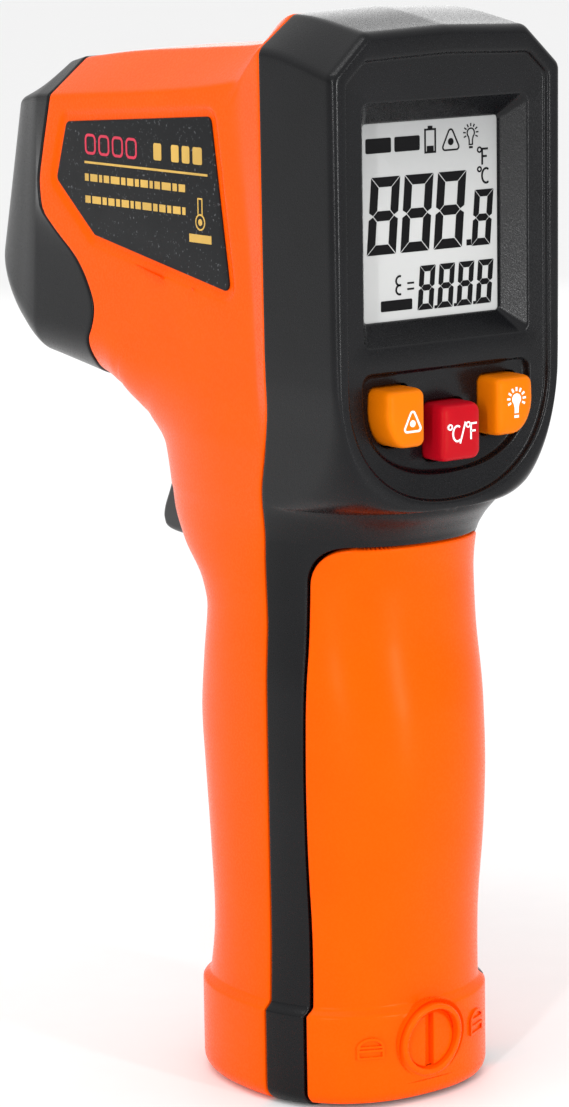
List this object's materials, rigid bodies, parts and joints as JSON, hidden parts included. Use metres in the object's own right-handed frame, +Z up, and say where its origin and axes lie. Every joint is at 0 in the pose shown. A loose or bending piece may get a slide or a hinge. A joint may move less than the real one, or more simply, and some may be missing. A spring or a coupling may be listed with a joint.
{
  "type": "infrared thermometer",
  "caption": "Pistol-shaped infrared thermometer with a display and keys at the back, a sensor nose, a trigger and a grip that holds the cells.",
  "frame": {"origin": "middle of the flat foot of the grip, on the surface it stands on", "axes": "+Z up along the grip, +Y the way the nose points, +X to the user's right as they look at the display"},
  "size_m": [0.0412, 0.0981, 0.1593],
  "materials": {
    "orange_shell": "satin moulded ABS",
    "dark_shell": "fine spark texture",
    "black_plastic": "plain moulded",
    "natural_plastic": "plain moulded",
    "key_amber": "satin",
    "key_red": "satin",
    "label": "printed film",
    "window_clear": "clear",
    "display": "glossy",
    "rubber": "plain",
    "board_green": "solder mask",
    "steel": "plated",
    "brass": "plain",
    "lens": "polished infrared lens",
    "cell_wrap": "printed sleeve"
  },
  "bodies": {
    "housing": {"front_housing_left": "orange_shell", "front_housing_right": "orange_shell", "rear_frame": "dark_shell", "nose_cap": "dark_shell", "label_left": "label", "label_right": "label", "trigger_pin": "steel", "trigger_spring": "steel", "trigger_board": "board_green", "trigger_switch": "black_plastic", "display_window": "window_clear", "display_glass": "display", "light_guide": "natural_plastic", "display_holder": "natural_plastic", "connector_strip": "rubber", "main_board": "board_green", "tact_switch_left": "black_plastic", "tact_switch_centre": "black_plastic", "tact_switch_right": "black_plastic", "processor": "black_plastic", "sounder": "black_plastic", "board_screw_left": "steel", "board_screw_right": "steel", "sensor_tube": "black_plastic", "infrared_lens": "lens", "lens_ring": "steel", "sensor_can": "steel", "sensor_board": "board_green", "laser_module": "brass", "laser_window": "window_clear", "battery_tray": "black_plastic", "cell_left": "cell_wrap", "cell_right": "cell_wrap", "contact_spring_left": "steel", "contact_spring_right": "steel", "contact_plate_left": "brass", "contact_plate_right": "brass", "housing_screw_lower": "steel", "housing_screw_middle": "steel", "housing_screw_front": "steel", "housing_screw_rear": "steel"},
    "trigger": {"trigger": "dark_shell"},
    "laser_key": {"laser_key": "key_amber"},
    "unit_key": {"unit_key": "key_red"},
    "light_key": {"light_key": "key_amber"},
    "cover": {"battery_cover": "orange_shell"},
    "lock": {"lock_knob": "orange_shell", "lock_cam": "black_plastic", "lock_screw": "steel"}
  },
  "joints": [
    {"name": "trigger_pull", "type": "hinge", "parent": "housing", "child": "trigger", "pos_m": [0, 0.028, 0.0995], "axis": [-1, 0, 0], "range_deg": [0, 12], "stiffness_Nm_per_rad": 0.15},
    {"name": "laser_key_press", "type": "slide", "parent": "housing", "child": "laser_key", "axis": [0, 1, 0], "range_m": [0, 0.0008], "stiffness_N_per_m": 1500},
    {"name": "unit_key_press", "type": "slide", "parent": "housing", "child": "unit_key", "axis": [0, 1, 0], "range_m": [0, 0.0008], "stiffness_N_per_m": 1500},
    {"name": "light_key_press", "type": "slide", "parent": "housing", "child": "light_key", "axis": [0, 1, 0], "range_m": [0, 0.0008], "stiffness_N_per_m": 1500},
    {"name": "cover_swing", "type": "hinge", "parent": "housing", "child": "cover", "pos_m": [0, -0.022, 0.083], "axis": [-1, 0, 0], "range_deg": [0, 60]},
    {"name": "lock_turn", "type": "hinge", "parent": "cover", "child": "lock", "pos_m": [0, -0.0225, 0.0094], "axis": [0, -1, 0], "range_deg": [0, 90]}
  ]
}
